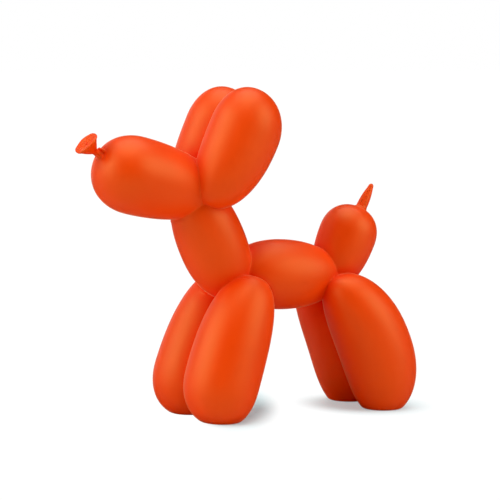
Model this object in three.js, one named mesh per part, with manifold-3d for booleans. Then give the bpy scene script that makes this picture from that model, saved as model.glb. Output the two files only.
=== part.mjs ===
// Balloon poodle: a standing figure, cast in one piece, in the form of a dog twisted from one long balloon.
// Millimetres, +Z up. The dog faces -Y, its left side is +X, and its four flat feet stand on Z = 0.
// The origin is on the floor under the middle of the figure.

import * as THREE from 'three';
import { mergeVertices } from 'three/addons/utils/BufferGeometryUtils.js';
import Module from 'manifold-3d';

// ---------------------------------------------------------------- driving dimensions
// A bubble is a surface of revolution about the line from its start to its end. Its radius is greatest at
// `widest`, a fraction of that line. Each half is a superellipse: an exponent of 2 is an ellipse, and a
// higher one is fuller. `bow` bends the middle of the line towards the tail (+) or the muzzle (-).
// A paired bubble is given for the left side and mirrored for the right.

const SNOUT = { start: [0, -117, 186], end: [0, -16, 160.5], radius: 28.25, widest: 0.3, full: [2.15, 2.0] };
const NECK = { start: [0, -45, 173.5], end: [0, -6.5, 88], radius: 24.75, widest: 0.54, full: [2.2, 2.2] };
const BODY = { start: [0, -13, 104.5], end: [0, 82, 99.5], radius: 26, widest: 0.47, full: [2.05, 2.1] };
const TAIL = { start: [0, 72, 88], end: [0, 100, 150], radius: 21.75, widest: 0.66, full: [2.15, 2.2] };
const EAR = { start: [18.5, -37.5, 156], end: [20, 4, 238.5], radius: 26.25, widest: 0.65,
  full: [2.35, 2.1], bow: 3 };
const FRONT_LEG = { start: [20.5, 0, 103.5], end: [26.5, -39, -2], radius: 27.5, widest: 0.69,
  full: [2.6, 2.3], bow: -2.5 };
const HIND_LEG = { start: [20, 69.5, 100.5], end: [25.5, 113, -4.5], radius: 27.75, widest: 0.56,
  full: [2.4, 2.45], bow: 8.5 };

// Tied neck of the balloon: a bead where it is knotted, then a trumpet that curls up to a dished lip.
// Its mouth turns a little to the dog's left.
const KNOT = { centre: [0, -113, 195.4], radius: 3.3, squash: 0.75 };
const MOUTHPIECE = { start: [0, -111.4, 191.6], length: 17.8, flare: 8.4, pitch: 30, curl: 15, yaw: 5,
  stem: 2.4, lip: 9.5, edge: 0.95, dish: 1, bore: 0.6 };

// Unfilled tip of the balloon: a slender spike on top of the tail, with a blunt end.
const TAIL_TIP = { start: [0, 97.1, 139.3], end: [0, 112.3, 166.8], radius: 4.2, widest: 0.34,
  full: [2, 1.85] };
const TIP_END = { start: [0, 107.9, 159.4], end: [0, 112.2, 166.8], radius: 1.9, widest: 0.78, full: [2, 2] };

const FOOT_CUT = { width: 160, length: 300, depth: 40 };

const AROUND = 26;
const RINGS_PER_HALF = 7;
const SMALL_AROUND = 16;

// ---------------------------------------------------------------- shared helpers

const wasm = await Module();
wasm.setup();

const X_AXIS = new THREE.Vector3(1, 0, 0);
const degrees = THREE.MathUtils.degToRad;

/** Turns a closed BufferGeometry into a solid, with shared corners merged and flat triangles dropped. */
function toSolid(geometry) {
  const bare = geometry.clone();
  bare.deleteAttribute('normal');
  bare.deleteAttribute('uv');
  const merged = mergeVertices(bare, 1e-4);
  const corners = merged.index.array;
  const kept = [];
  for (let i = 0; i < corners.length; i += 3) {
    const [a, b, c] = corners.slice(i, i + 3);
    if (a !== b && b !== c && c !== a) kept.push(a, b, c);
  }
  const mesh = new wasm.Mesh({
    numProp: 3,
    vertProperties: new Float32Array(merged.attributes.position.array),
    triVerts: new Uint32Array(kept),
  });
  return new wasm.Manifold(mesh);
}

/** Turns a solid back into a BufferGeometry. */
function toGeometry(solid) {
  const { vertProperties, triVerts } = solid.getMesh();
  const geometry = new THREE.BufferGeometry();
  geometry.setAttribute('position', new THREE.BufferAttribute(vertProperties, 3));
  geometry.setIndex(new THREE.BufferAttribute(triVerts, 1));
  geometry.computeVertexNormals();
  return geometry;
}

/** A frame with Y along `along` and Z square to that in the side plane, towards the tail. */
function sideFrame(origin, along) {
  const y = along.clone().normalize();
  const z = new THREE.Vector3().crossVectors(y, X_AXIS).normalize();
  if (z.y < 0) z.negate();
  const x = new THREE.Vector3().crossVectors(y, z);
  return new THREE.Matrix4().makeBasis(x, y, z).setPosition(origin);
}

/** Lathes a profile that runs up the Y axis, so that its faces point out. */
function lathe(profile, around) {
  return new THREE.LatheGeometry(profile.map(([r, y]) => new THREE.Vector2(r, y)), around);
}

// ---------------------------------------------------------------- bubbles

/** The half profile of a bubble, from its start to its end. */
function bubbleProfile(length, { radius, widest, full }) {
  const profile = [];
  const steps = 2 * RINGS_PER_HALF;
  for (let i = 0; i <= steps; i += 1) {
    const angle = (i / steps - 0.5) * Math.PI;
    const power = 2 / (i < RINGS_PER_HALF ? full[0] : full[1]);
    const reach = (i < RINGS_PER_HALF ? widest : 1 - widest) * length;
    const onAxis = i === 0 || i === steps;
    const r = onAxis ? 0 : radius * Math.cos(angle) ** power;
    profile.push([r, widest * length + Math.sign(angle) * reach * Math.abs(Math.sin(angle)) ** power]);
  }
  return profile;
}

/** One bubble as a solid, on the left side or mirrored to the right, with `around` facets round it. */
function bubble(spec, side = 1, around = AROUND) {
  const start = new THREE.Vector3(side * spec.start[0], spec.start[1], spec.start[2]);
  const end = new THREE.Vector3(side * spec.end[0], spec.end[1], spec.end[2]);
  const length = start.distanceTo(end);
  const geometry = lathe(bubbleProfile(length, spec), around);
  const position = geometry.attributes.position;
  for (let i = 0; i < position.count; i += 1) {
    const u = position.getY(i) / length;
    position.setZ(i, position.getZ(i) + (spec.bow ?? 0) * 4 * u * (1 - u));
  }
  return toSolid(geometry.applyMatrix4(sideFrame(start, end.sub(start))));
}

// ---------------------------------------------------------------- knotted mouthpiece

/** The bead of the knot, a ball flattened along the snout. */
function knotBead({ centre, radius, squash }) {
  const bead = new THREE.SphereGeometry(radius, SMALL_AROUND, SMALL_AROUND / 2);
  return toSolid(bead.scale(1, squash, 1).translate(...centre));
}

/** The trumpet: a stem that flares to a rounded lip, a dished mouth, and a spine that curls upwards. */
function mouthpiece({ start, length, flare, pitch, curl, yaw, stem, lip, edge, dish, bore }) {
  const profile = [[0, 0], [stem, 0], [stem, flare]];
  const flareSteps = 3;
  for (let i = 1; i <= flareSteps; i += 1) {
    const t = i / flareSteps;
    profile.push([THREE.MathUtils.lerp(stem, lip, t), THREE.MathUtils.lerp(flare, length - edge * 0.8, t)]);
  }
  profile.push([lip, length - edge * 0.3], [lip - edge, length], [lip - 2 * edge, length - edge * 0.3]);
  profile.push([(lip + bore) / 2, length - dish * 0.75], [bore, length - dish], [0, length - dish]);

  const geometry = lathe(profile, SMALL_AROUND);
  const position = geometry.attributes.position;
  const turn = degrees(curl);
  const bend = length / turn;
  const vertex = new THREE.Vector3();
  for (let i = 0; i < position.count; i += 1) {
    vertex.fromBufferAttribute(position, i);
    const angle = (vertex.y / length) * turn;
    const reach = bend - vertex.z;
    position.setXYZ(i, vertex.x, reach * Math.sin(angle), bend - reach * Math.cos(angle));
  }
  const forward = new THREE.Vector3(0, -Math.cos(degrees(pitch)), Math.sin(degrees(pitch)));
  const upward = new THREE.Vector3(0, Math.sin(degrees(pitch)), Math.cos(degrees(pitch)));
  const across = new THREE.Vector3().crossVectors(forward, upward);
  const frame = new THREE.Matrix4().makeBasis(across, forward, upward);
  frame.premultiply(new THREE.Matrix4().makeRotationZ(degrees(yaw)));
  return toSolid(geometry.applyMatrix4(frame.setPosition(...start)));
}

// ---------------------------------------------------------------- the whole figure

/** The floor block that cuts the four feet flat. */
function footCut({ width, length, depth }) {
  return toSolid(new THREE.BoxGeometry(width, length, depth).translate(0, 0, -depth / 2));
}

const parts = [SNOUT, NECK, BODY, TAIL].map((spec) => bubble(spec));
for (const spec of [EAR, FRONT_LEG, HIND_LEG]) parts.push(bubble(spec, 1), bubble(spec, -1));
for (const spec of [TAIL_TIP, TIP_END]) parts.push(bubble(spec, 1, SMALL_AROUND));
parts.push(knotBead(KNOT), mouthpiece(MOUTHPIECE));

const figure = parts.reduce((whole, part) => whole.add(part)).subtract(footCut(FOOT_CUT));

const paintedResin = new THREE.MeshStandardMaterial({ color: 0xe0481a, roughness: 0.5, metalness: 0 });
const poodle = new THREE.Mesh(toGeometry(figure), paintedResin);
poodle.name = 'balloon_poodle';

const group = new THREE.Group();
group.name = 'balloon_poodle_group';
group.add(poodle);

export default group;
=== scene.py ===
"""Balloon poodle: a standing figure in painted cast resin, in the form of a dog twisted from one balloon.

Sizes are in millimetres until a mesh is finished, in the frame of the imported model: +Z up, the muzzle
towards -Y, the dog's left side towards +X, and the flat feet on Z = 0.
"""

import logging
import math
from collections.abc import Callable, Sequence
from dataclasses import dataclass, replace
from enum import Enum

import bmesh
import bpy
import numpy as np
from mathutils import Matrix, Vector
from mathutils.bvhtree import BVHTree

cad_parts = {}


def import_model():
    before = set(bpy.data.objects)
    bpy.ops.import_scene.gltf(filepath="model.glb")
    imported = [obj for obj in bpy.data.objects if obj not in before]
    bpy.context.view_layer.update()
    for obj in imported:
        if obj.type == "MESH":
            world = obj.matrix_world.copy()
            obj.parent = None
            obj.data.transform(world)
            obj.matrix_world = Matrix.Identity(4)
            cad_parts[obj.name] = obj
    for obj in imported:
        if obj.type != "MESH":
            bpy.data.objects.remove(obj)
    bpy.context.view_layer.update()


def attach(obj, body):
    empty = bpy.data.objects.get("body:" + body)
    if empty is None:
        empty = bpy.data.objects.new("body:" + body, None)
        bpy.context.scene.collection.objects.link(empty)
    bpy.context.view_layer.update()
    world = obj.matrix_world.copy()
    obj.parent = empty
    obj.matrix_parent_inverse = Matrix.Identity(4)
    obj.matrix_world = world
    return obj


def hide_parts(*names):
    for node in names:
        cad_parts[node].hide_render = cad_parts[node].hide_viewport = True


LOG = logging.getLogger("balloon_poodle")

MM = 0.001
BODY = "root"
CAD_NODE = "balloon_poodle"
OCCLUSION = "occlusion"

# Vertices nearer than this at a spin's seam and poles are one.
SEAM = 1e-4
# Keeps a division from meeting nought.
TINY = 1e-6
# A Mix node's colour sockets, which share their names with its number sockets.
MIX_A, MIX_B, MIX_RESULT = 6, 7, 2

Point = tuple[float, float, float]


# ---------------------------------------------------------------- helpers


def linear(code: str) -> tuple[float, float, float, float]:
    """Turns an sRGB hex code into a linear colour.

    Args:
        code: Six hex digits.

    Returns:
        Red, green and blue, and an alpha of 1.
    """
    shares = [int(code[i : i + 2], 16) / 255 for i in (0, 2, 4)]
    return (*[s / 12.92 if s <= 0.04045 else ((s + 0.055) / 1.055) ** 2.4 for s in shares], 1.0)


def heading(azimuth: float, elevation: float) -> Vector:
    """Finds the way from the figure towards a place in the studio.

    Args:
        azimuth: Degrees round from -Y, towards +X.
        elevation: Degrees above the horizon.

    Returns:
        A unit vector.
    """
    a, e = math.radians(azimuth), math.radians(elevation)
    return Vector((math.sin(a) * math.cos(e), -math.cos(a) * math.cos(e), math.sin(e)))


def blend(one: np.ndarray, other: np.ndarray, width: float) -> np.ndarray:
    """Joins two distances smoothly.

    Args:
        one: Distances from one shape.
        other: Distances from the other.
        width: How far from the crease the blend reaches.

    Returns:
        Distances from the two together.
    """
    near = np.maximum(width - np.abs(one - other), 0) / width
    return np.minimum(one, other) - near * near * width / 4


def vert_array(verts: Sequence[bmesh.types.BMVert]) -> np.ndarray:
    """Returns the places of vertices as an array, one a row."""
    return np.array([vert.co[:] for vert in verts], float).reshape(-1, 3)


def move_verts(verts: Sequence[bmesh.types.BMVert], mover: Callable[[np.ndarray], np.ndarray]) -> None:
    """Moves vertices by a function of their places.

    Args:
        verts: The vertices.
        mover: Turns an array of places into the new places.
    """
    for vert, place in zip(verts, mover(vert_array(verts))):
        vert.co = place


def add_mesh(target: bmesh.types.BMesh, source: bmesh.types.BMesh) -> None:
    """Adds one mesh to another.

    Args:
        target: The mesh to add to.
        source: The mesh that is copied.
    """
    carrier = bpy.data.meshes.new("carrier")
    source.to_mesh(carrier)
    target.from_mesh(carrier)
    bpy.data.meshes.remove(carrier)


def carried(source: bmesh.types.BMesh) -> bpy.types.Object:
    """Puts a mesh in a scratch object, for a modifier to work on.

    Args:
        source: The mesh.

    Returns:
        The object, which the caller removes.
    """
    carrier = bpy.data.objects.new("carrier", bpy.data.meshes.new("carrier"))
    bpy.context.scene.collection.objects.link(carrier)
    source.to_mesh(carrier.data)
    return carrier


def from_modifiers(carrier: bpy.types.Object) -> bmesh.types.BMesh:
    """Applies an object's modifiers.

    Args:
        carrier: The object, which keeps its own mesh.

    Returns:
        A new mesh.
    """
    evaluated = carrier.evaluated_get(bpy.context.evaluated_depsgraph_get())
    made = bmesh.new()
    made.from_mesh(evaluated.to_mesh())
    evaluated.to_mesh_clear()
    return made


def remeshed(source: bmesh.types.BMesh, grid: float) -> bmesh.types.BMesh:
    """Joins overlapping closed skins into one, with an even mesh.

    Args:
        source: The skins.
        grid: Size of the mesh's squares.

    Returns:
        A new mesh.
    """
    carrier = carried(source)
    modifier = carrier.modifiers.new("even_mesh", "REMESH")
    modifier.mode = "VOXEL"
    modifier.voxel_size = grid
    made = from_modifiers(carrier)
    bpy.data.objects.remove(carrier)
    return made


def united(one: bmesh.types.BMesh, other: bmesh.types.BMesh) -> bmesh.types.BMesh:
    """Joins two closed skins that overlap into one closed skin.

    Args:
        one: The first skin.
        other: The second skin.

    Returns:
        A new mesh.
    """
    first, second = carried(one), carried(other)
    modifier = first.modifiers.new("union", "BOOLEAN")
    modifier.operation = "UNION"
    modifier.solver = "EXACT"
    modifier.object = second
    made = from_modifiers(first)
    bpy.data.objects.remove(first)
    bpy.data.objects.remove(second)
    return made


def spun(outline: Sequence[tuple[float, float]], around: int) -> bmesh.types.BMesh:
    """Spins an outline about the Z axis into a closed skin.

    Args:
        outline: Pairs of radius and height, the first and the last on the axis.
        around: Steps of the spin.

    Returns:
        A new mesh.
    """
    skin = bmesh.new()
    profile = [skin.verts.new((radius, 0, height)) for radius, height in outline]
    edges = [skin.edges.new(pair) for pair in zip(profile, profile[1:])]
    bmesh.ops.spin(
        skin,
        geom=profile + edges,
        cent=(0, 0, 0),
        axis=(0, 0, 1),
        angle=math.tau,
        steps=around,
        use_merge=True,
        use_duplicate=False,
    )
    bmesh.ops.remove_doubles(skin, verts=skin.verts, dist=SEAM)
    return skin


@dataclass(frozen=True)
class Outlook:
    """Measures how much of the view from a surface is taken up by the object itself.

    Attributes:
        ways: How many directions all round are tried.
        reach: How far away the object still counts.
        lift: How far above the surface the measure is taken.
        skimming: Directions that lean less than this out of the surface are left out.
        passes: How many times the result is evened out between neighbours.
    """

    ways: int = 64
    reach: float = 120.0
    lift: float = 0.05
    skimming: float = 0.08
    passes: int = 3

    def rays(self) -> list[Vector]:
        """Spreads directions evenly all round, on a spiral from pole to pole.

        Returns:
            Unit vectors.
        """
        rays = []
        for i in range(self.ways):
            height = 1 - (2 * i + 1) / self.ways
            turn = i * math.pi * (3 - math.sqrt(5))
            flat = math.sqrt(1 - height * height)
            rays.append(Vector((flat * math.cos(turn), flat * math.sin(turn), height)))
        return rays

    def evened(self, mesh: bmesh.types.BMesh, values: np.ndarray) -> np.ndarray:
        """Evens out values between neighbouring vertices.

        Args:
            mesh: The mesh.
            values: One value a vertex.

        Returns:
            The evened values.
        """
        mesh.verts.index_update()
        ends = np.array([[vert.index for vert in edge.verts] for edge in mesh.edges])
        counts = np.bincount(ends.ravel(), minlength=len(values))
        for _ in range(self.passes):
            sums = np.bincount(ends[:, 0], values[ends[:, 1]], len(values))
            sums += np.bincount(ends[:, 1], values[ends[:, 0]], len(values))
            values = (values + sums / counts) / 2
        return values

    def shut_in(self, mesh: bmesh.types.BMesh) -> np.ndarray:
        """Measures how far each vertex is shut in.

        Args:
            mesh: A closed mesh with its normals outward.

        Returns:
            A share for each vertex, from 0 in the open to 1 where it is wholly shut in.
        """
        mesh.normal_update()
        tree = BVHTree.FromBMesh(mesh)
        rays = self.rays()
        shares = []
        for vert in mesh.verts:
            place, normal = vert.co + vert.normal * self.lift, vert.normal
            seen = shut = 0.0
            for ray in rays:
                facing = normal.dot(ray)
                if facing > self.skimming:
                    seen += facing
                    if tree.ray_cast(place, ray, self.reach)[0] is not None:
                        shut += facing
            shares.append(shut / seen)
        return self.evened(mesh, np.array(shares))


# ---------------------------------------------------------------- bubbles and folds


@dataclass(frozen=True)
class Bubble:
    """One bubble of the balloon: a surface of revolution about the line from its start to its end.

    Attributes:
        start: Where the line starts.
        end: Where the line ends.
        radius: Greatest radius.
        widest: Where the radius is greatest, as a fraction of the line.
        full: Superellipse exponents of the two halves: 2 is an ellipse, and more is fuller.
        bow: How far the middle of the line bends, towards the tail (+) or the muzzle (-).
        fillet: Width of the blend where this bubble meets the ones before it.
    """

    start: Point
    end: Point
    radius: float
    widest: float = 0.5
    full: tuple[float, float] = (2.0, 2.0)
    bow: float = 0.0
    fillet: float = 0.9

    def mirrored(self) -> "Bubble":
        """Returns the same bubble on the dog's right side."""
        start, end = ((-p[0], *p[1:]) for p in (self.start, self.end))
        return replace(self, start=start, end=end)

    def length(self) -> float:
        """Returns the length of the line."""
        return (Vector(self.end) - Vector(self.start)).length

    def bend(self, part: float | np.ndarray) -> float | np.ndarray:
        """Returns how far the line bends aside at a fraction of its length."""
        return self.bow * 4 * part * (1 - part)

    def frame(self) -> Matrix:
        """Finds the bubble's own frame: Z along its line, and X towards the tail, square to the line.

        Returns:
            A matrix from the bubble's coordinates to the figure's.
        """
        along = (Vector(self.end) - Vector(self.start)).normalized()
        lies_across = abs(along.x) > 0.9
        side = Vector((0, 0, 1)) if lies_across else Vector((1, 0, 0))
        tailward = along.cross(side).normalized()
        if tailward.y < 0:
            tailward.negate()
        across = along.cross(tailward)
        turned = Matrix((tailward, across, along)).transposed().to_4x4()
        return Matrix.Translation(self.start) @ turned

    def outline(self, steps: int) -> list[tuple[float, float]]:
        """Lists the half outline of the bubble before it is bowed.

        Args:
            steps: Edges from end to end, an even number.

        Returns:
            Pairs of radius and height along the line.
        """
        length = self.length()
        outline = []
        for i in range(steps + 1):
            angle = (i / steps - 0.5) * math.pi
            power = 2 / self.full[0 if angle < 0 else 1]
            reach = (self.widest if angle < 0 else 1 - self.widest) * length
            radius = 0.0 if i in (0, steps) else self.radius * math.cos(angle) ** power
            height = math.copysign(abs(math.sin(angle)) ** power, angle) * reach + self.widest * length
            outline.append((radius, height))
        return outline

    def mesh_into(self, target: bmesh.types.BMesh, steps: int, around: int) -> None:
        """Spins the bubble's outline into a closed skin and adds it to a mesh.

        Args:
            target: The mesh to add to.
            steps: Edges along the outline, an even number.
            around: Steps of the spin.
        """
        skin = spun(self.outline(steps), around)
        length = self.length()
        for vert in skin.verts:
            vert.co.x += self.bend(vert.co.z / length)
        bmesh.ops.transform(skin, matrix=self.frame(), verts=skin.verts)
        bmesh.ops.recalc_face_normals(skin, faces=skin.faces)
        add_mesh(target, skin)
        skin.free()

    def distance(self, points: np.ndarray, overrun: float = 0.1) -> np.ndarray:
        """Measures how far points are outside the bubble, closely where they are near it.

        Args:
            points: An array of points, one a row.
            overrun: The fraction of the line past each end over which it goes on bending.

        Returns:
            One signed distance a point, negative inside.
        """
        inverse = np.array(self.frame().inverted())
        local = points @ inverse[:3, :3].T + inverse[:3, 3]
        length = self.length()
        part = np.clip(local[:, 2] / length, -overrun, 1 + overrun)
        off_axis = np.hypot(local[:, 0] - self.bend(part), local[:, 1])
        along = local[:, 2] - self.widest * length
        first = along < 0
        reach = np.where(first, self.widest, 1 - self.widest) * length
        power = np.where(first, self.full[0], self.full[1])
        swell = ((np.abs(along) / reach) ** power + (off_axis / self.radius) ** power) ** (1 / power)
        return np.hypot(along, off_axis) * (1 - 1 / np.maximum(swell, TINY))


@dataclass(frozen=True)
class Fold:
    """A small ridge or groove in the skin, along an arc through three points.

    Attributes:
        start: Where the arc starts.
        middle: A point that it passes through half way.
        end: Where it ends.
        width: How wide the fold is on each side of the arc.
        height: How far the skin stands out there, or with a minus sign how far it sinks.
    """

    start: Point
    middle: Point
    end: Point
    width: float
    height: float

    def mirrored(self) -> "Fold":
        """Returns the same fold on the dog's right side."""
        start, middle, end = ((-p[0], *p[1:]) for p in (self.start, self.middle, self.end))
        return replace(self, start=start, middle=middle, end=end)

    def gap(self, points: np.ndarray, marks: int = 9) -> tuple[np.ndarray, np.ndarray]:
        """Measures how far points are from the arc.

        Args:
            points: An array of points, one a row.
            marks: How many places on the arc it is followed by.

        Returns:
            The distances, and where along the arc each nearest place is, from 0 to 1.
        """
        first, middle, last = (np.array(p) for p in (self.start, self.middle, self.end))
        shares = np.linspace(0, 1, marks)[:, None]
        pull = 2 * middle - (first + last) / 2
        path = (1 - shares) ** 2 * first + 2 * shares * (1 - shares) * pull + shares**2 * last
        best = np.full(len(points), np.inf)
        where = np.zeros(len(points))
        for i, (near, far) in enumerate(zip(path, path[1:])):
            step = far - near
            share = np.clip((points - near) @ step / (step @ step), 0, 1)
            gaps = np.linalg.norm(points - near - share[:, None] * step, axis=1)
            closer = gaps < best
            best[closer] = gaps[closer]
            where[closer] = (i + share[closer]) / (len(path) - 1)
        return best, where

    def rise(self, points: np.ndarray) -> np.ndarray:
        """Returns how far the fold lifts the skin at each point, fading out at both ends."""
        gaps, where = self.gap(points)
        return self.height * np.exp(-((gaps / self.width) ** 2)) * (1 - (2 * where - 1) ** 4)


@dataclass(frozen=True)
class Pleats:
    """Short grooves round a twist, as on gathered rubber.

    Attributes:
        centre: The middle of the twist.
        axis: The way that it points.
        inner: Where the grooves start, from the middle.
        grooves: The length and the depth of each groove.
        width: How wide the grooves are on each side.
        swing: How far each groove is turned, at least and at most, in shares of the gap between grooves.
    """

    centre: Point
    axis: Point
    inner: float
    grooves: tuple[tuple[float, float], ...]
    width: float = 0.8
    swing: tuple[float, float] = (0.15, 0.45)

    def folds(self) -> list[Fold]:
        """Lays the grooves, unevenly as rubber gathers.

        Returns:
            One fold a groove.
        """
        out = Vector(self.axis).normalized()
        across = Vector((1, 0, 0))
        up = out.cross(across)
        middle, sway = sum(self.swing) / 2, (self.swing[1] - self.swing[0]) / 2
        folds = []
        for i, (length, depth) in enumerate(self.grooves):
            # A sway that goes on by 2.6 radians a groove settles into no pattern.
            turn = math.tau * (i + middle + sway * math.sin(2.6 * i)) / len(self.grooves)
            way = across * math.cos(turn) + up * math.sin(turn)
            marks = [tuple(Vector(self.centre) + way * (self.inner + length * s)) for s in (0, 0.5, 1)]
            folds.append(Fold(*marks, width=self.width, height=-depth))
        return folds


# ---------------------------------------------------------------- skin


@dataclass
class BalloonSkin:
    """The bubbles as one continuous skin, with a small fillet in each crease and flat feet.

    Attributes:
        bubbles: The inflated bubbles.
        trimmings: The small forms at the knot and the tail's tip, each joined to the skin so far.
        folds: Small ridges and grooves.
        foot_edge: Width of the blend between a leg and its flat foot.
        steps: Edges along each bubble's outline before the bubbles are joined.
        around: Edges round each bubble then.
        grid: Size of the even mesh that the joined skin starts from.
        crease_edge: Longest edge in a crease.
        crease_reach: How far each side of a crease the mesh is made fine.
        detail_edge: Longest edge on the trimmings and the folds.
        slack: How many times too long an edge is when it is split.
        rounds: How many times long edges are looked for.
        eases: How many times the mesh relaxes after each round.
    """

    bubbles: list[Bubble]
    trimmings: list[Bubble]
    folds: list[Fold]
    foot_edge: float = 1.5
    steps: int = 48
    around: int = 72
    grid: float = 2.1
    crease_edge: float = 0.66
    crease_reach: float = 1.9
    detail_edge: float = 0.5
    slack: float = 1.35
    rounds: int = 3
    eases: int = 3

    def distance(self, points: np.ndarray) -> np.ndarray:
        """Measures how far points are outside the blended skin.

        Args:
            points: An array of points, one a row.

        Returns:
            One signed distance a point, negative inside.
        """
        whole = self.bubbles[0].distance(points)
        for bubble in self.bubbles[1:] + self.trimmings:
            whole = blend(whole, bubble.distance(points), bubble.fillet)
        whole = -blend(-whole, points[:, 2], self.foot_edge)
        for fold in self.folds:
            near = np.linalg.norm(points - fold.middle, axis=1) < math.dist(fold.start, fold.end)
            whole[near] -= fold.rise(points[near])
        return whole

    def direction(self, points: np.ndarray, step: float = 0.01) -> np.ndarray:
        """Finds the way out of the skin at each point.

        Args:
            points: An array of points, one a row.
            step: How far on each side of a point the distance is compared.

        Returns:
            The gradient of the distance, one row a point.
        """
        columns = []
        for axis in range(3):
            offset = np.zeros(3)
            offset[axis] = step
            rise = self.distance(points + offset) - self.distance(points - offset)
            columns.append(rise / (2 * step))
        return np.stack(columns, axis=1)

    def settle(self, points: np.ndarray, passes: int = 2, stride: float = 1.2) -> np.ndarray:
        """Moves points onto the skin.

        Args:
            points: An array of points, one a row.
            passes: How many times they are moved.
            stride: The furthest that a point moves at a time.

        Returns:
            The moved points.
        """
        least_slope = 0.05
        for _ in range(passes):
            way = self.direction(points)
            slope = np.maximum((way * way).sum(1), least_slope)
            move = way * (self.distance(points) / slope)[:, None]
            size = np.linalg.norm(move, axis=1, keepdims=True)
            points = points - move * np.minimum(1, stride / np.maximum(size, TINY))
        return points

    def crease_gap(self, points: np.ndarray) -> np.ndarray:
        """Measures how near points are to a crease between two bubbles.

        Args:
            points: An array of points, one a row.

        Returns:
            The gap between the nearest bubble and the next.
        """
        gaps = np.sort(np.stack([bubble.distance(points) for bubble in self.bubbles]), axis=0)
        return gaps[1] - gaps[0]

    def wanted_edge(self, points: np.ndarray) -> np.ndarray:
        """Says how long the mesh's edges may be at each point.

        Args:
            points: An array of points, one a row.

        Returns:
            The longest edge that the shape there allows.
        """
        coarse = 2 * self.grid
        height = points[:, 2]
        # The rim of a flat foot is as fine as a crease, over twice the distance.
        reach = np.minimum(self.crease_gap(points), height / 2) / self.crease_reach
        wanted = np.interp(reach, [1, 2, 3.5], [self.crease_edge, 2 * self.crease_edge, coarse])
        for fold in self.folds:
            reach = fold.gap(points)[0] / fold.width
            edge = min(self.detail_edge, 0.75 * fold.width)
            wanted = np.minimum(wanted, np.interp(reach, [2, 5], [edge, coarse]))
        for bubble in self.trimmings:
            reach = bubble.distance(points)
            wanted = np.minimum(wanted, np.interp(reach, [1, 5], [self.detail_edge, coarse]))
        return wanted

    def build(self) -> bmesh.types.BMesh:
        """Makes the skin as a closed mesh, even on the bubbles and fine where the shape is.

        Returns:
            A new mesh.
        """
        rough = bmesh.new()
        for bubble in self.bubbles + self.trimmings:
            bubble.mesh_into(rough, self.steps, self.around)
        mesh = remeshed(rough, self.grid)
        rough.free()
        self.lay_folds()
        move_verts(list(mesh.verts), lambda points: self.settle(points, passes=4))
        for _ in range(self.rounds):
            self.refine(mesh)
        return mesh

    def lay_folds(self) -> None:
        """Moves the points that the folds run through onto the skin."""
        folds, self.folds = self.folds, []
        marks = [self.settle(np.array([fold.start, fold.middle, fold.end]), passes=8) for fold in folds]
        self.folds = [
            replace(fold, start=tuple(mark[0]), middle=tuple(mark[1]), end=tuple(mark[2]))
            for fold, mark in zip(folds, marks)
        ]

    def refine(self, mesh: bmesh.types.BMesh) -> None:
        """Splits the edges that are too long once and lets the mesh relax round them.

        Args:
            mesh: The mesh to change.
        """
        verts = list(mesh.verts)
        wanted = dict(zip(verts, self.wanted_edge(vert_array(verts))))
        edges = [e for e in mesh.edges if e.calc_length() > self.slack * max(wanted[v] for v in e.verts)]
        split = bmesh.ops.subdivide_edges(mesh, edges=edges, cuts=1, use_grid_fill=True)
        bmesh.ops.triangulate(mesh, faces=[f for f in mesh.faces if len(f.verts) > 4])
        fresh = {v for v in split["geom_split"] if isinstance(v, bmesh.types.BMVert)}
        loose = list(fresh | {e.other_vert(v) for v in fresh for e in v.link_edges})
        move_verts(loose, self.settle)
        for _ in range(self.eases):
            bmesh.ops.smooth_vert(
                mesh, verts=loose, factor=0.5, use_axis_x=True, use_axis_y=True, use_axis_z=True
            )
            move_verts(loose, self.settle)


# ---------------------------------------------------------------- mouthpiece


@dataclass(frozen=True)
class Ripple:
    """A wave that runs round an axis, and may wind as it goes out.

    Attributes:
        crests: Crests all the way round.
        height: How far it lifts.
        phase: Radians that it is shifted by.
        wind: Radians that it turns for each millimetre out.
    """

    crests: int
    height: float
    phase: float
    wind: float = 0.0

    def lift(self, angle: np.ndarray, radius: np.ndarray) -> np.ndarray:
        """Returns how far the wave lifts at each angle and radius."""
        return self.height * np.sin(self.crests * angle + self.wind * radius + self.phase)


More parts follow.
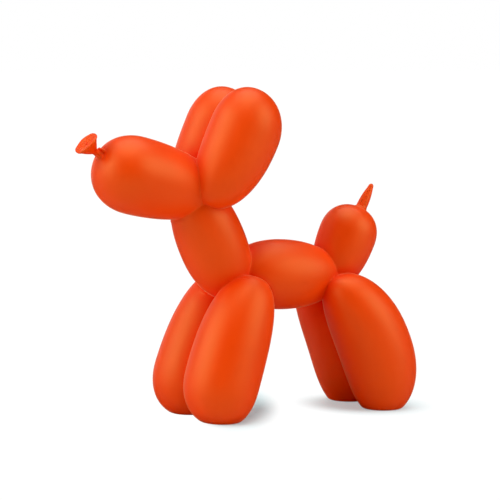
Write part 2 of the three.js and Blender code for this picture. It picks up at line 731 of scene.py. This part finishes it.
@dataclass(frozen=True)
class Mouthpiece:
    """The blowing end of the balloon beyond the knot: a slim stem that flares into a dished, rolled lip.

    Attributes:
        start: Where the stem starts, inside the knot.
        length: From there to the lip, along the curved centre line.
        pitch: Degrees above the horizon that the stem starts at.
        curl: Degrees that it turns upwards on the way.
        yaw: Degrees that the mouth turns to the dog's left.
        stem: Radius of the stem.
        root: Length of the rounded end inside the knot.
        flare: Where the stem starts to widen.
        lip: Outer radius of the lip.
        roll: Radius of the rolled edge.
        overhang: How far the lip stands out past the cone.
        dish: How deep the mouth is dished.
        bore: Radius of the hole in the middle.
        bore_depth: How deep the hole goes.
        cone_bulge: Power of the cone's outline: 1 is straight, and less bulges out.
        dish_bulge: Power of the dish's outline: 1 is a straight cone, and more is rounder.
        pleats: Pleats round the stem and the cone's foot.
        pleat_depth: How deep they are, in shares of the radius.
        lip_waves: How the lip wanders in and out, in shares of the radius.
        lip_lifts: How the lip wanders up and down.
        dish_folds: The wrinkles in the dish.
        steps: Edges along the cone, and along the dish.
        around: Steps of the spin.
    """

    start: Point = (0, -111.4, 191.6)
    length: float = 17.0
    pitch: float = 30
    curl: float = 15
    yaw: float = 5
    stem: float = 2.4
    root: float = 1.6
    flare: float = 8.4
    lip: float = 9.5
    roll: float = 0.95
    overhang: float = 0.25
    dish: float = 1.0
    bore: float = 0.6
    bore_depth: float = 0.9
    cone_bulge: float = 0.92
    dish_bulge: float = 1.8
    pleats: int = 9
    pleat_depth: float = 0.05
    lip_waves: tuple[Ripple, ...] = (Ripple(3, 0.012, 0.4), Ripple(5, 0.012, 1.0))
    lip_lifts: tuple[Ripple, ...] = (Ripple(3, 0.14, 1.9), Ripple(5, 0.14, -0.6))
    dish_folds: tuple[Ripple, ...] = (
        Ripple(3, 0.3, 0.0, wind=0.55),
        Ripple(5, 0.24, 1.3, wind=-0.8),
        Ripple(9, 0.14, 2.1, wind=0.4),
    )
    steps: int = 12
    around: int = 112

    def cone(self) -> list[tuple[float, float]]:
        """Lists the outline of the flare.

        Returns:
            Pairs of radius and height along the centre line.
        """
        wide, high = self.lip - self.overhang - self.stem, self.length - self.flare
        shares = [i / self.steps for i in range(1, self.steps)]
        return [(self.stem + wide * s**self.cone_bulge, self.flare + high * s) for s in shares]

    def rolled_edge(self) -> list[tuple[float, float]]:
        """Lists the outline of the rolled edge, from under the lip over into the mouth.

        Returns:
            Pairs of radius and height along the centre line.
        """
        ring = self.lip - self.roll
        turns = [math.radians(26 * i) for i in range(-1, 6)]
        return [(ring + self.roll * math.cos(t), self.length + self.roll * math.sin(t)) for t in turns]

    def dished_mouth(self) -> list[tuple[float, float]]:
        """Lists the outline of the dish, from the rolled edge in and down to the foot of the bore.

        Returns:
            Pairs of radius and height along the centre line.
        """
        outer = self.lip - 1.8 * self.roll
        rim = self.length + 0.6 * self.roll
        outline = []
        for i in range(1, self.steps):
            share = i / self.steps
            radius = outer * (1 - share) + self.bore * share
            outline.append((radius, rim - self.dish * (1 - (1 - share) ** self.dish_bulge)))
        floor = rim - self.dish
        narrowed = (0.7 * self.bore, floor - self.bore_depth * 2 / 3)
        return outline + [narrowed, (0.0, floor - self.bore_depth)]

    def outline(self) -> list[tuple[float, float]]:
        """Lists the outline from the stem's buried end, over the lip and down into the bore.

        Returns:
            Pairs of radius and height along the centre line.
        """
        stem = [(0.0, 0.0), (0.9 * self.stem, 0.0), (self.stem, self.root), (self.stem, self.flare)]
        return stem + self.cone() + self.rolled_edge() + self.dished_mouth()

    def creased(self, points: np.ndarray) -> np.ndarray:
        """Wrinkles the straight mouthpiece: pleats on the cone, a wavy lip and folds in the dish.

        Args:
            points: An array of points, one a row, with the centre line along Z.

        Returns:
            The moved points.
        """
        x, y, z = points.T
        radius, angle = np.hypot(x, y), np.arctan2(y, x)
        open_part = np.clip((z - self.flare) / (self.length - self.flare), 0, 1)
        dish_edge, dish_fade, dish_floor = self.lip - 1.6 * self.roll, 2.5, self.length - self.dish - 0.8
        in_dish = np.clip((dish_edge - radius) / dish_fade, 0, 1) * (z > dish_floor)
        uneven = 0.7 * np.sin(2 * angle)
        pleats = self.pleat_depth * np.cos(self.pleats * angle + uneven)
        pleats = pleats * (1 - open_part) * np.clip(radius, 0, 1)
        wave = sum(ripple.lift(angle, radius) for ripple in self.lip_waves)
        radius = radius * (1 + pleats + wave * open_part)
        lift = sum(ripple.lift(angle, radius) for ripple in self.lip_lifts)
        folds = sum(ripple.lift(angle, radius) for ripple in self.dish_folds)
        height = z + lift * open_part**2 * np.clip(radius / self.lip, 0, 1) + folds * in_dish
        return np.stack([radius * np.cos(angle), radius * np.sin(angle), height], axis=1)

    def bent(self, points: np.ndarray) -> np.ndarray:
        """Bends the straight mouthpiece along its centre line and puts it in its place.

        Args:
            points: An array of points, one a row, with the centre line along Z.

        Returns:
            The moved points.
        """
        x, y, z = points.T
        first, turn = math.radians(self.pitch), math.radians(self.curl)
        radius = self.length / turn
        along = np.clip(z, 0, self.length)
        angle = first + turn * along / self.length
        over = z - along
        forward = radius * (np.sin(angle) - math.sin(first)) + over * np.cos(angle) - y * np.sin(angle)
        up = radius * (math.cos(first) - np.cos(angle)) + over * np.sin(angle) + y * np.cos(angle)
        aside = math.radians(self.yaw)
        side = x * math.cos(aside) + forward * math.sin(aside)
        forward = forward * math.cos(aside) - x * math.sin(aside)
        return np.stack([self.start[0] + side, self.start[1] - forward, self.start[2] + up], axis=1)

    def build(self) -> bmesh.types.BMesh:
        """Spins the outline, wrinkles it and bends it.

        Returns:
            A new closed mesh.
        """
        mesh = spun(self.outline(), self.around)
        move_verts(list(mesh.verts), lambda points: self.bent(self.creased(points)))
        bmesh.ops.recalc_face_normals(mesh, faces=mesh.faces)
        return mesh


# ---------------------------------------------------------------- finishes


def add_node(
    tree: bpy.types.NodeTree, kind: str, links: dict | None = None, **settings: object
) -> bpy.types.Node:
    """Adds a node to a tree.

    Args:
        tree: The tree.
        kind: The node's type name, without its ShaderNode.
        links: Input sockets, by name or number, and the output socket or value that each takes.
        **settings: Attributes of the node.

    Returns:
        The node.
    """
    node = tree.nodes.new("ShaderNode" + kind)
    for name, value in settings.items():
        setattr(node, name, value)
    for name, source in (links or {}).items():
        if isinstance(source, bpy.types.NodeSocket):
            tree.links.new(source, node.inputs[name])
        else:
            node.inputs[name].default_value = source
    return node


@dataclass(frozen=True)
class OrangePaint:
    """Semi-matt orange spray paint over cast resin.

    The eye sees a deep, even orange with a soft silky sheen and no mirror reflections, a pale dusty rim and
    a very fine orange peel where the surface turns away, and a few dust nibs. The creases and the space
    between the legs are painted a deeper red as painted shade. It stands for the shadow there and for the
    light that the orange surfaces throw on one another, and there the coat is also rougher, so duller.

    Attributes:
        colour: The coat.
        cloudy: The coat where it is cloudy, which is only just lighter.
        painted_crease_shade: Painted shade: the deeper red that the coat is given where the surface is
            occluded.
        gloss_tint: What colour the coat's own gloss is.
        dust_tint: What colour the overspray is where it is seen edge on.
        dust: How much of it there is.
        dust_spread: Its sheen roughness: a small value keeps it to a thin rim.
        refraction: Refractive index of the binder.
        roughness: Roughness in the open.
        dry_roughness: Roughness in the creases.
        unevenness: How much the roughness varies to each side.
        cloud_width: Width of the cloudy patches, in millimetres.
        peel_grain: From crest to crest of the orange peel as drawn, in millimetres.
        peel_depth: Its depth, in millimetres.
        peel_strength: How much of that depth shows.
        nib_spacing: From one dust nib to the next, in millimetres.
        nib_size: Radius of a nib, in shares of the spacing.
        nib_height: Height of a nib, in millimetres.
        nib_strength: How much of that height shows.
        open_until: How far the surface is shut in where the painted shade in the creases starts.
        shut_from: How far it is shut in where that painted shade is full.
    """

    colour: str = "E83800"
    cloudy: str = "EC4002"
    painted_crease_shade: str = "E80800"
    gloss_tint: str = "FFFF90"
    dust_tint: str = "FFBE88"
    dust: float = 1.0
    dust_spread: float = 0.2
    refraction: float = 1.52
    roughness: float = 0.45
    dry_roughness: float = 0.9
    unevenness: float = 0.03
    cloud_width: float = 35.0
    peel_grain: float = 1.1
    peel_depth: float = 0.02
    peel_strength: float = 0.35
    nib_spacing: float = 14.0
    nib_size: float = 0.03
    nib_height: float = 0.12
    nib_strength: float = 0.6
    open_until: float = 0.2
    shut_from: float = 0.8

    def build(self) -> bpy.types.Material:
        """Makes the material.

        Returns:
            A material that reads Object coordinates and the shelter attribute.
        """
        material = bpy.data.materials.new("semi_matt_orange_paint")
        material.use_nodes = True
        tree = material.node_tree
        shader = tree.nodes["Principled BSDF"]
        place = add_node(tree, "TexCoord").outputs["Object"]
        cloud = add_node(
            tree, "TexNoise", {"Vector": place, "Scale": 1 / (self.cloud_width * MM), "Detail": 3.0}
        ).outputs["Fac"]
        # How much painted shade each place gets, from how far it is occluded.
        deep = self.depth(tree)
        tree.links.new(self.tone(tree, cloud, deep), shader.inputs["Base Color"])
        tree.links.new(self.dullness(tree, cloud, deep), shader.inputs["Roughness"])
        tree.links.new(self.relief(tree, place), shader.inputs["Normal"])
        shader.inputs["IOR"].default_value = self.refraction
        shader.inputs["Specular Tint"].default_value = linear(self.gloss_tint)
        shader.inputs["Sheen Weight"].default_value = self.dust
        shader.inputs["Sheen Roughness"].default_value = self.dust_spread
        shader.inputs["Sheen Tint"].default_value = linear(self.dust_tint)
        return material

    def depth(self, tree: bpy.types.NodeTree) -> bpy.types.NodeSocket:
        """Turns how far the surface is shut in into how much painted shade it gets, which also sets its
        roughness.

        Args:
            tree: The material's tree.

        Returns:
            From 0 in the open to 1 in a crease.
        """
        occlusion = add_node(tree, "Attribute", attribute_name=OCCLUSION)
        span = {"From Min": self.open_until, "From Max": self.shut_from}
        return add_node(tree, "MapRange", {"Value": occlusion.outputs["Fac"], **span}).outputs["Result"]

    def tone(
        self, tree: bpy.types.NodeTree, cloud: bpy.types.NodeSocket, deep: bpy.types.NodeSocket
    ) -> bpy.types.NodeSocket:
        """Makes the colour: a faintly cloudy coat, with painted shade in the creases, where it is redder.

        Args:
            tree: The material's tree.
            cloud: The cloudy pattern.
            deep: How much painted shade the surface gets.

        Returns:
            The colour.
        """
        coats = {MIX_A: linear(self.colour), MIX_B: linear(self.cloudy)}
        coat = add_node(tree, "Mix", {"Factor": cloud, **coats}, data_type="RGBA").outputs[MIX_RESULT]
        # Painted shade: the coat turns a deeper red where the surface is occluded.
        creased = {MIX_A: coat, MIX_B: linear(self.painted_crease_shade)}
        return add_node(tree, "Mix", {"Factor": deep, **creased}, data_type="RGBA").outputs[MIX_RESULT]

    def dullness(
        self, tree: bpy.types.NodeTree, cloud: bpy.types.NodeSocket, deep: bpy.types.NodeSocket
    ) -> bpy.types.NodeSocket:
        """Makes the roughness: a little uneven in the open, and dry in the creases.

        Args:
            tree: The material's tree.
            cloud: The cloudy pattern.
            deep: How much painted shade the surface gets, which here makes it rougher.

        Returns:
            The roughness.
        """
        least, most = self.roughness - self.unevenness, self.roughness + self.unevenness
        # The cloudy pattern keeps between 0.3 and 0.7 nearly everywhere.
        span = {"From Min": 0.3, "From Max": 0.7, "To Min": least, "To Max": most}
        matt = add_node(tree, "MapRange", {"Value": cloud, **span}).outputs["Result"]
        span = {"To Min": matt, "To Max": self.dry_roughness}
        return add_node(tree, "MapRange", {"Value": deep, **span}).outputs["Result"]

    def relief(self, tree: bpy.types.NodeTree, place: bpy.types.NodeSocket) -> bpy.types.NodeSocket:
        """Makes the fine relief: orange peel, with dust nibs on it.

        Args:
            tree: The material's tree.
            place: Object coordinates.

        Returns:
            The normal.
        """
        # Orange peel is really about 0.5 mm from crest to crest. It is drawn twice as coarse, so that it
        # shows.
        peel = add_node(
            tree, "TexNoise", {"Vector": place, "Scale": 1 / (self.peel_grain * MM), "Detail": 2.0}
        )
        skin = add_node(
            tree,
            "Bump",
            {
                "Height": peel.outputs["Fac"],
                "Strength": self.peel_strength,
                "Distance": self.peel_depth * MM,
            },
        )
        # Dust nibs are sparse specks, under a millimetre across.
        nib = add_node(
            tree, "TexVoronoi", {"Vector": place, "Scale": 1 / (self.nib_spacing * MM), "Randomness": 1.0}
        )
        span = {"From Min": 0.0, "From Max": self.nib_size, "To Min": 1.0, "To Max": 0.0}
        speck = add_node(tree, "MapRange", {"Value": nib.outputs["Distance"], **span})
        surface = add_node(
            tree,
            "Bump",
            {
                "Height": speck.outputs["Result"],
                "Strength": self.nib_strength,
                "Distance": self.nib_height * MM,
                "Normal": skin.outputs["Normal"],
            },
        )
        return surface.outputs["Normal"]


@dataclass(frozen=True)
class StudioPaper:
    """Matt paper, which the eye sees as soft white with no shine.

    Attributes:
        shade: Share of the red, green and blue light that it gives back.
    """

    shade: tuple[float, float, float]

    def build(self) -> bpy.types.Material:
        """Makes the material.

        Returns:
            A material with no pattern.
        """
        material = bpy.data.materials.new("matt_paper")
        material.use_nodes = True
        shader = material.node_tree.nodes["Principled BSDF"]
        shader.inputs["Base Color"].default_value = (*self.shade, 1.0)
        shader.inputs["Roughness"].default_value = 1.0
        shader.inputs["Specular IOR Level"].default_value = 0.0
        return material


@dataclass(frozen=True)
class ShadowOval:
    """Partly a painted shadow: an oval on the table, round the feet of one pair of legs, that sets where the
    floor darkens and how the darkening fades, while the real shadows of the softboxes show inside it.

    Attributes:
        centre: Its middle, in metres.
        radii: Its two radii, in metres.
        turn: Degrees that it is turned, from +X towards +Y.
        cut: How much of the glow is cut at its middle, which sets how dark the painted shadow gets.
    """

    centre: Point
    radii: tuple[float, float]
    turn: float = 0.0
    cut: float = 1.0


@dataclass(frozen=True)
class LightTable:
    """White acrylic lit from below, which the eye sees as pure white with soft grey shadows round the feet.

    The shadows are partly painted: ovals round the feet cut the glow, and inside them the real shadows of
    the softboxes show.

    Attributes:
        shade: Share of the red, green and blue light from above that it gives back.
        patches: The painted shadow ovals round the feet, where the glow is cut.
        glow: Strength of the light from below.
        fade: Where the light from below starts and is full, in shares of an oval's radius.
    """

    shade: tuple[float, float, float]
    patches: tuple[ShadowOval, ...]
    glow: float = 1.03
    fade: tuple[float, float] = (0.55, 1.35)

    def build(self) -> bpy.types.Material:
        """Makes the material.

        Returns:
            A material that reads Object coordinates.
        """
        material = StudioPaper(self.shade).build()
        material.name = "white_acrylic"
        tree = material.node_tree
        place = add_node(tree, "TexCoord").outputs["Object"]
        through = 1.0
        # Painted shadows: ovals round the feet cut the glow, so the floor darkens there.
        for shadow_oval in self.patches:
            lit = self.light_past(tree, place, shadow_oval)
            through = add_node(tree, "Math", {0: through, 1: lit}, operation="MINIMUM").outputs["Value"]
        below = add_node(tree, "Emission", {"Color": (1, 1, 1, 1), "Strength": self.glow})
        above = tree.nodes["Principled BSDF"].outputs["BSDF"]
        both = add_node(tree, "MixShader", {0: through, 1: above, 2: below.outputs["Emission"]})
        tree.links.new(both.outputs["Shader"], tree.nodes["Material Output"].inputs["Surface"])
        return material

    def light_past(
        self, tree: bpy.types.NodeTree, place: bpy.types.NodeSocket, shadow_oval: ShadowOval
    ) -> bpy.types.NodeSocket:
        """Finds how much of the glow one painted shadow oval lets through.

        Args:
            tree: The material's tree.
            place: Object coordinates.
            shadow_oval: The painted shadow oval.

        Returns:
            A share, 1 away from the oval.
        """
        oval = add_node(
            tree,
            "Mapping",
            {
                "Vector": place,
                "Location": shadow_oval.centre,
                "Rotation": (0, 0, math.radians(shadow_oval.turn)),
                "Scale": (*shadow_oval.radii, 1),
            },
            vector_type="TEXTURE",
        )
        away = add_node(tree, "VectorMath", {0: oval.outputs["Vector"]}, operation="LENGTH")
        span = {"From Min": self.fade[0], "From Max": self.fade[1], "To Min": 1 - shadow_oval.cut}
        lit = add_node(
            tree, "MapRange", {"Value": away.outputs["Value"], **span}, interpolation_type="SMOOTHSTEP"
        )
        return lit.outputs["Result"]


# ---------------------------------------------------------------- the figure


@dataclass(frozen=True)
class Knot:
    """The tie at the tip of the snout.

    Attributes:
        root: The skin that is drawn out into the mouthpiece.
        crown: The tie across the top.
        loop: The loop on the dog's left, with another like it on the right.
        gather: The groove beside it, also on both sides.
        pleats: The pleats that run out over the snout.
    """

    root: Bubble = Bubble((0, -100, 185.3), (0, -119.6, 197.6), 2.6, full=(2.4, 2.4), fillet=4.2)
    crown: Bubble = Bubble((-1.9, -114.2, 197.5), (1.9, -114.2, 197.5), 1.3, fillet=0.8)
    loop: Bubble = Bubble((1.0, -113.6, 198.0), (4.4, -112.3, 196.2), 1.05, fillet=0.6)
    gather: Fold = Fold((3.1, -114.5, 195.5), (5.5, -112.0, 193.5), (6.0, -112.5, 189.5), 0.9, -0.8)
    pleats: Pleats = Pleats(
        (0, -112.6, 193.2), (0, -0.84, 0.54), 2.4, ((3.5, 0.35), (4.5, 0.45), (3, 0.3)) * 2
    )

    def forms(self) -> list[Bubble]:
        """Returns the small forms that make up the knot."""
        return [self.root, self.crown, self.loop, self.loop.mirrored()]

    def folds(self) -> list[Fold]:
        """Returns the grooves round the knot."""
        return [self.gather, self.gather.mirrored(), *self.pleats.folds()]


@dataclass(frozen=True)
class TailTip:
    """The uninflated tip of the balloon, which stands on the tail.

    Attributes:
        cone: The tip, from inside the tail.
        end: Its thicker end.
        groove: The groove along its left side, with another like it on the right.
        ridge: The ridge behind the groove, also on both sides.
        pleats: The pleats round its foot.
    """

    cone: Bubble = Bubble((0, 97.1, 139.3), (0, 112.3, 166.8), 4.2, 0.34, (2.0, 1.85), fillet=2.3)
    end: Bubble = Bubble((0, 107.9, 159.4), (0, 112.2, 166.8), 1.9, 0.78, fillet=1.2)
    groove: Fold = Fold((2.0, 108.7, 162.1), (2.6, 105.2, 158.0), (3.4, 101.2, 152.7), 0.5, -2.0)
    ridge: Fold = Fold((1.4, 110.8, 161.7), (1.9, 108.2, 157.5), (2.6, 104.9, 152.9), 0.6, 0.3)
    pleats: Pleats = Pleats(
        (0, 103, 151.5), (0, 0.5, 0.87), 3.6, ((3, 0.25), (3.6, 0.35)) * 4, width=0.6
    )

    def forms(self) -> list[Bubble]:
        """Returns the two forms that make up the tip."""
        return [self.cone, self.end]

    def folds(self) -> list[Fold]:
        """Returns the ridges and grooves along the tip and round its foot."""
        left = [self.groove, self.ridge]
        return left + [fold.mirrored() for fold in left] + self.pleats.folds()


@dataclass(frozen=True)
class Creases:
    """The ridges and grooves where the skin is pinched between bubbles.

    Attributes:
        brow: The ridge between the snout and the left ear, with another like it on the right.
        shoulder: The groove at the head of the left front leg, also on both sides.
        throat: The ridge between the snout and the neck, also on both sides.
        neck_twist: The two fine ridges at the foot of the neck, on the right only.
    """

    brow: Fold = Fold((14.4, -47.3, 189.0), (17.2, -47.2, 186.3), (19.1, -46.5, 183.5), 0.8, 0.6)
    shoulder: Fold = Fold((21.1, -15.2, 104.1), (25.5, -12.7, 104.0), (30.1, -9.5, 103.2), 0.6, -0.6)
    throat: Fold = Fold((-1.5, -55.2, 145.6), (5.0, -54.7, 144.3), (11.2, -52.2, 143.9), 0.9, 0.6)
    neck_twist: tuple[Fold, ...] = (
        Fold((-14.6, -27.0, 93.2), (-10.8, -26.0, 92.0), (-7.4, -24.4, 90.8), 0.6, 0.7),
        Fold((-14.2, -27.4, 91.5), (-10.6, -26.4, 90.3), (-7.6, -24.9, 89.1), 0.6, 0.6),
    )

    def folds(self) -> list[Fold]:
        """Returns every ridge and groove."""
        left = [self.brow, self.shoulder, self.throat]
        return left + [fold.mirrored() for fold in left] + list(self.neck_twist)


@dataclass(frozen=True)
class BalloonPoodle:
    """The whole casting, as one piece.

    Attributes:
        snout: The head's bubble, from the knot back to the neck.
        neck: The bubble from the head down to the front legs.
        body: The bubble from the front legs to the hind legs.
        tail: The bubble that stands up behind the body.
        ear: The left ear. The ears and the legs come in mirrored pairs.
        front_leg: The left front leg.
        hind_leg: The left hind leg.
        knot: The tie at the tip of the snout.
        mouthpiece: What stands out past the knot.
        tail_tip: The tip on the tail.
        creases: The pinched skin between the bubbles.
        merge: Vertices nearer than this are one.
        outlook: How the occlusion of each place is measured, for the painted shade in the creases.
        paint: The finish.
    """

    snout: Bubble = Bubble((0, -117, 186), (0, -16, 160.5), 28.25, 0.3, (2.15, 2.0))
    neck: Bubble = Bubble((0, -45, 173.5), (0, -6.5, 88), 24.75, 0.54, (2.2, 2.2))
    body: Bubble = Bubble((0, -13, 104.5), (0, 82, 99.5), 26, 0.47, (2.05, 2.1))
    tail: Bubble = Bubble((0, 72, 88), (0, 100, 150), 21.75, 0.66, (2.15, 2.2))
    ear: Bubble = Bubble((18.5, -37.5, 156), (20, 4, 238.5), 26.25, 0.65, (2.35, 2.1), bow=3)
    front_leg: Bubble = Bubble((20.5, 0, 103.5), (26.5, -39, -2), 27.5, 0.69, (2.6, 2.3), bow=-2.5)
    hind_leg: Bubble = Bubble((20, 69.5, 100.5), (25.5, 113, -4.5), 27.75, 0.56, (2.4, 2.45), bow=8.5)
    knot: Knot = Knot()
    mouthpiece: Mouthpiece = Mouthpiece()
    tail_tip: TailTip = TailTip()
    creases: Creases = Creases()
    merge: float = 0.04
    outlook: Outlook = Outlook()
    paint: OrangePaint = OrangePaint()

    def bubbles(self) -> list[Bubble]:
        """Lists every inflated bubble.

        Returns:
            The single ones, then the pairs, the left one of each first.
        """
        pairs = [self.ear, self.front_leg, self.hind_leg]
        sides = [side for left in pairs for side in (left, left.mirrored())]
        return [self.snout, self.neck, self.body, self.tail] + sides

    def skin(self) -> BalloonSkin:
        """Gathers what the skin is made from.

        Returns:
            The skin, not yet built.
        """
        trimmings = self.knot.forms() + self.tail_tip.forms()
        folds = self.creases.folds() + self.knot.folds() + self.tail_tip.folds()
        return BalloonSkin(self.bubbles(), trimmings, folds)

    def mesh(self) -> bmesh.types.BMesh:
        """Joins the skin and the mouthpiece.

        Returns:
            A new closed mesh of triangles.
        """
        casting, blower = self.skin().build(), self.mouthpiece.build()
        mesh = united(casting, blower)
        casting.free()
        blower.free()
        bmesh.ops.remove_doubles(mesh, verts=mesh.verts, dist=self.merge)
        bmesh.ops.triangulate(mesh, faces=mesh.faces)
        bmesh.ops.recalc_face_normals(mesh, faces=mesh.faces)
        return mesh

    def build(self) -> bpy.types.Object:
        """Makes the figure's one piece, in metres, in its place.

        Returns:
            The object, riding on the body and standing for the CAD node.
        """
        mesh = self.mesh()
        # How far each vertex is occluded, which the paint turns into painted shade in the creases.
        occlusion = self.outlook.shut_in(mesh)
        bmesh.ops.scale(mesh, vec=(MM, MM, MM), verts=mesh.verts)
        for face in mesh.faces:
            face.smooth = True
        data = bpy.data.meshes.new("poodle_casting")
        mesh.to_mesh(data)
        mesh.free()
        data.attributes.new(OCCLUSION, "FLOAT", "POINT").data.foreach_set("value", occlusion)
        data.materials.append(self.paint.build())
        piece = bpy.data.objects.new("poodle_casting", data)
        bpy.context.scene.collection.objects.link(piece)
        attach(piece, BODY)
        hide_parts(CAD_NODE)
        LOG.info("casting: %d triangles, shelter up to %.2f", len(data.polygons), occlusion.max())
        return piece


# ---------------------------------------------------------------- studio


@dataclass(frozen=True)
class Softbox:
    """A large, far, soft round light, so even that the floor is as bright everywhere.

    Attributes:
        name: The light's name.
        azimuth: Degrees round from -Y, towards +X.
        elevation: Degrees above the horizon.
        spread: Degrees that the light takes up, as the figure sees it.
        strength: Watts that it puts on a square metre facing it.
        stand_off: Metres from the figure that the light object stands, which doesn't change its light.
    """

    name: str
    azimuth: float
    elevation: float
    spread: float
    strength: float
    stand_off: float = 2.0

    def build(self) -> bpy.types.Object:
        """Makes the light.

        Returns:
            The light object.
        """
        back = heading(self.azimuth, self.elevation)
        data = bpy.data.lights.new(self.name, "SUN")
        data.angle = math.radians(self.spread)
        data.energy = self.strength
        light = bpy.data.objects.new(self.name, data)
        light.location = back * self.stand_off
        light.rotation_euler = (-back).to_track_quat("-Z", "Y").to_euler()
        bpy.context.scene.collection.objects.link(light)
        return light


class Seen(Enum):
    """What a sheet is there for: to be seen, or to reflect light up at the figure."""

    BY_CAMERA = "seen"
    BY_FIGURE = "bounce"


@dataclass(frozen=True)
class Studio:
    """A white light table in a dark room, with soft light from both sides of the camera and above.

    Attributes:
        softboxes: The lights, named for where they stand as the camera sees it.
        table_half: Half the width of the table, in metres.
        table: What the table is made of. It is slightly cool, so that the orange light that falls on it from
            the figure leaves its shadows grey.
        bounce: What the sheet that lights the figure from below is made of.
        bounce_drop: How far that sheet lies under the table, in metres.
    """

    softboxes: tuple[Softbox, ...] = (
        Softbox("left_high", 1, 32, 36, 0.76),
        Softbox("far_left_high", -29, 32, 36, 0.76),
        Softbox("left_low", 1, 5, 36, 0.66),
        Softbox("far_left_low", -29, 5, 36, 0.26),
        Softbox("right", 131, 28, 50, 1.63),
        Softbox("back_left", -89, 10, 40, 0.25),
        Softbox("overhead", 241, 82, 60, 1.77),
        Softbox("overhead_front", 61, 70, 40, 0.44),
    )
    table_half: float = 30.0
    table: LightTable = LightTable(
        (0.56, 0.84, 0.87),
        (
            # Painted shadow ovals round the front feet and round the hind feet.
            ShadowOval((-0.028, 0.012, 0), (0.0255, 0.092), turn=61.2, cut=0.95),
            ShadowOval((0.002, 0.105, 0), (0.051, 0.041), cut=0.64),
        ),
    )
    bounce: StudioPaper = StudioPaper((0.84, 0.84, 0.84))
    bounce_drop: float = 0.1 * MM

    def sheet(self, seen: Seen, height: float, material: bpy.types.Material) -> bpy.types.Object:
        """Lays a large flat sheet.

        Args:
            seen: What the sheet is there for.
            height: Where it lies, in metres.
            material: What it is made of.

        Returns:
            The sheet.
        """
        name = f"sheet_{seen.value}"
        mesh = bmesh.new()
        place = Matrix.Translation((0, 0, height))
        bmesh.ops.create_grid(mesh, x_segments=1, y_segments=1, size=self.table_half, matrix=place)
        data = bpy.data.meshes.new(name)
        mesh.to_mesh(data)
        mesh.free()
        data.materials.append(material)
        sheet = bpy.data.objects.new(name, data)
        bpy.context.scene.collection.objects.link(sheet)
        sheet.visible_camera = seen is Seen.BY_CAMERA
        sheet.visible_diffuse = seen is Seen.BY_FIGURE
        sheet.visible_glossy = False
        sheet.visible_shadow = seen is Seen.BY_FIGURE
        return sheet

    def build(self) -> None:
        """Makes the table, the backdrop and the lights."""
        self.sheet(Seen.BY_CAMERA, 0.0, self.table.build())
        self.sheet(Seen.BY_FIGURE, -self.bounce_drop, self.bounce.build())
        for softbox in self.softboxes:
            softbox.build()
        self.backdrop()
        LOG.info("studio: %d softboxes", len(self.softboxes))

    def backdrop(self) -> None:
        """Makes a white backdrop that is seen and gives off no light."""
        world = bpy.data.worlds.new("white_backdrop")
        world.use_nodes = True
        world.node_tree.nodes["Background"].inputs["Color"].default_value = (1, 1, 1, 1)
        world.cycles_visibility.diffuse = False
        world.cycles_visibility.glossy = False
        bpy.context.scene.world = world


@dataclass(frozen=True)
class StudioCamera:
    """The camera: a long lens, a little above the figure and to the left of its muzzle.

    Attributes:
        azimuth: Degrees round from -Y, towards +X.
        elevation: Degrees above the horizon.
        aim: The point in the middle of the view, in metres.
        distance: Metres from there.
        lens: Focal length in millimetres.
        sensor: Width of the sensor in millimetres.
        black: The faint light that is shown as black, which deepens the colours a little.
    """

    azimuth: float = 61.2
    elevation: float = 4.94
    aim: Point = (0, 0.00709, 0.12115)
    distance: float = 1.64735
    lens: float = 161.5
    sensor: float = 36.0
    black: float = 0.0022

    def build(self) -> bpy.types.Object:
        """Makes the camera and looks through it.

        Returns:
            The camera object.
        """
        back = heading(self.azimuth, self.elevation)
        data = bpy.data.cameras.new("camera")
        data.lens, data.sensor_width = self.lens, self.sensor
        camera = bpy.data.objects.new("camera", data)
        camera.location = Vector(self.aim) + back * self.distance
        camera.rotation_euler = (-back).to_track_quat("-Z", "Y").to_euler()
        bpy.context.scene.collection.objects.link(camera)
        bpy.context.scene.camera = camera
        settings = bpy.context.scene.view_settings
        settings.view_transform = "Standard"
        settings.use_curve_mapping = True
        settings.curve_mapping.black_level = (self.black,) * 3
        settings.curve_mapping.update()
        LOG.info("camera: %.0f mm lens", self.lens)
        return camera


def main() -> None:
    """Builds the figure, the studio and the camera."""
    logging.basicConfig(level=logging.INFO, format="%(name)s: %(message)s")
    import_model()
    BalloonPoodle().build()
    Studio().build()
    StudioCamera().build()


if __name__ == "__main__":
    main()
